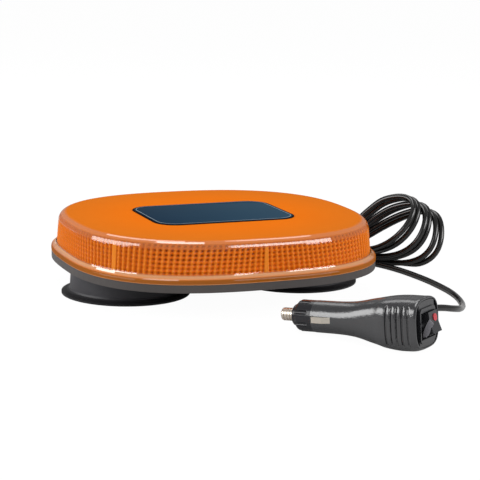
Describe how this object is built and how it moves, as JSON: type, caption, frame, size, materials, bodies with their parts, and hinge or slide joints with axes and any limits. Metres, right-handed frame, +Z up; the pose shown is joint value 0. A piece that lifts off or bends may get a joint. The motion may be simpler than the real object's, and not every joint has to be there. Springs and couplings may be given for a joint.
{
  "type": "amber LED light box with magnet feet and lead",
  "caption": "Low rounded amber LED light box on two rubber-booted magnet feet, with a black lead and a switched plug for a 12 V vehicle socket.",
  "frame": {"origin": "centre of the light box's plan outline, on the surface that its magnet feet stand on", "axes": "+X along the light box, from the left magnet foot to the right one; -Y its front, the side the plug lies on; +Z up"},
  "size_m": [0.3079, 0.3646, 0.062],
  "materials": {
    "lens": "clear amber moulding, glossy, with fine fluting inside the wall",
    "label": "glossy dark navy decal plate",
    "seal": "matt",
    "tray": "fine satin grey moulding",
    "screw_steel": "zinc plated",
    "bracket_metal": "sheet",
    "board_white": "white solder mask",
    "led_body": "domed amber-yellow chips",
    "reflector": "white sheet",
    "board_green": "green solder mask",
    "components": "black packages",
    "terminal": "moulded",
    "cord_skin": "smooth, glossy",
    "boot_rubber": "satin",
    "cup_steel": "plated",
    "ferrite": "matt dark grey",
    "gland_plastic": "satin",
    "plug_plastic": "satin moulding",
    "cap_plastic": "glossy moulding",
    "contact_metal": "nickel plated",
    "fuse_glass": "glass with metal caps",
    "spring_steel": "bright wire",
    "switch_plastic": "satin",
    "brass": "tinned",
    "lamp_red": "red"
  },
  "bodies": {
    "light_and_plug": {"lens": "lens", "label_plate": "label", "gasket": "seal", "base_tray": "tray", "lens_screws": "screw_steel", "led_bracket": "bracket_metal", "led_boards": "board_white", "leds": "led_body", "bracket_screws": "screw_steel", "reflector_plate": "reflector", "reflector_screws": "screw_steel", "driver_board": "board_green", "driver_parts": "components", "wire_terminal": "terminal", "driver_screws": "screw_steel", "inner_cable": "cord_skin", "boot_left": "boot_rubber", "boot_right": "boot_rubber", "cup_left": "cup_steel", "cup_right": "cup_steel", "ferrite_left": "ferrite", "ferrite_right": "ferrite", "foot_bolts": "screw_steel", "foot_washers": "screw_steel", "foot_nuts": "screw_steel", "cord_gland": "gland_plastic", "gland_nut": "gland_plastic", "base_relief": "cord_skin", "cord_start": "cord_skin", "cord_hank": "cord_skin", "cord_tie": "seal", "cord_lead": "cord_skin", "plug_shell_near": "plug_plastic", "plug_shell_far": "plug_plastic", "plug_screws": "screw_steel", "plug_nose_cap": "cap_plastic", "tip_spring": "spring_steel", "switch_block": "switch_plastic", "switch_blades": "brass", "plug_relief": "cord_skin"},
    "rocker": {"rocker": "switch_plastic", "rocker_lamp": "lamp_red"},
    "centre_contact": {"tip_contact": "contact_metal", "plug_fuse": "fuse_glass"},
    "near_contact": {"side_contact_near": "contact_metal"},
    "far_contact": {"side_contact_far": "contact_metal"}
  },
  "joints": [
    {"name": "rocker_hinge", "type": "hinge", "parent": "light_and_plug", "child": "rocker", "pos_m": [0.05928, -0.21381, 0.01792], "axis": [0.8202, 0.5721, 0], "range_deg": [0, 28]},
    {"name": "centre_contact_slide", "type": "slide", "parent": "light_and_plug", "child": "centre_contact", "axis": [0.57, -0.8171, 0.0864], "range_m": [0, 0.004], "stiffness_N_per_m": 400, "springref_m": -0.002, "deforming": ["tip_spring"]},
    {"name": "near_contact_slide", "type": "slide", "parent": "light_and_plug", "child": "near_contact", "axis": [0.8202, 0.5721, 0], "range_m": [0, 0.0014], "stiffness_N_per_m": 600, "springref_m": -0.0005},
    {"name": "far_contact_slide", "type": "slide", "parent": "light_and_plug", "child": "far_contact", "axis": [-0.8202, -0.5721, 0], "range_m": [0, 0.0014], "stiffness_N_per_m": 600, "springref_m": -0.0005}
  ]
}
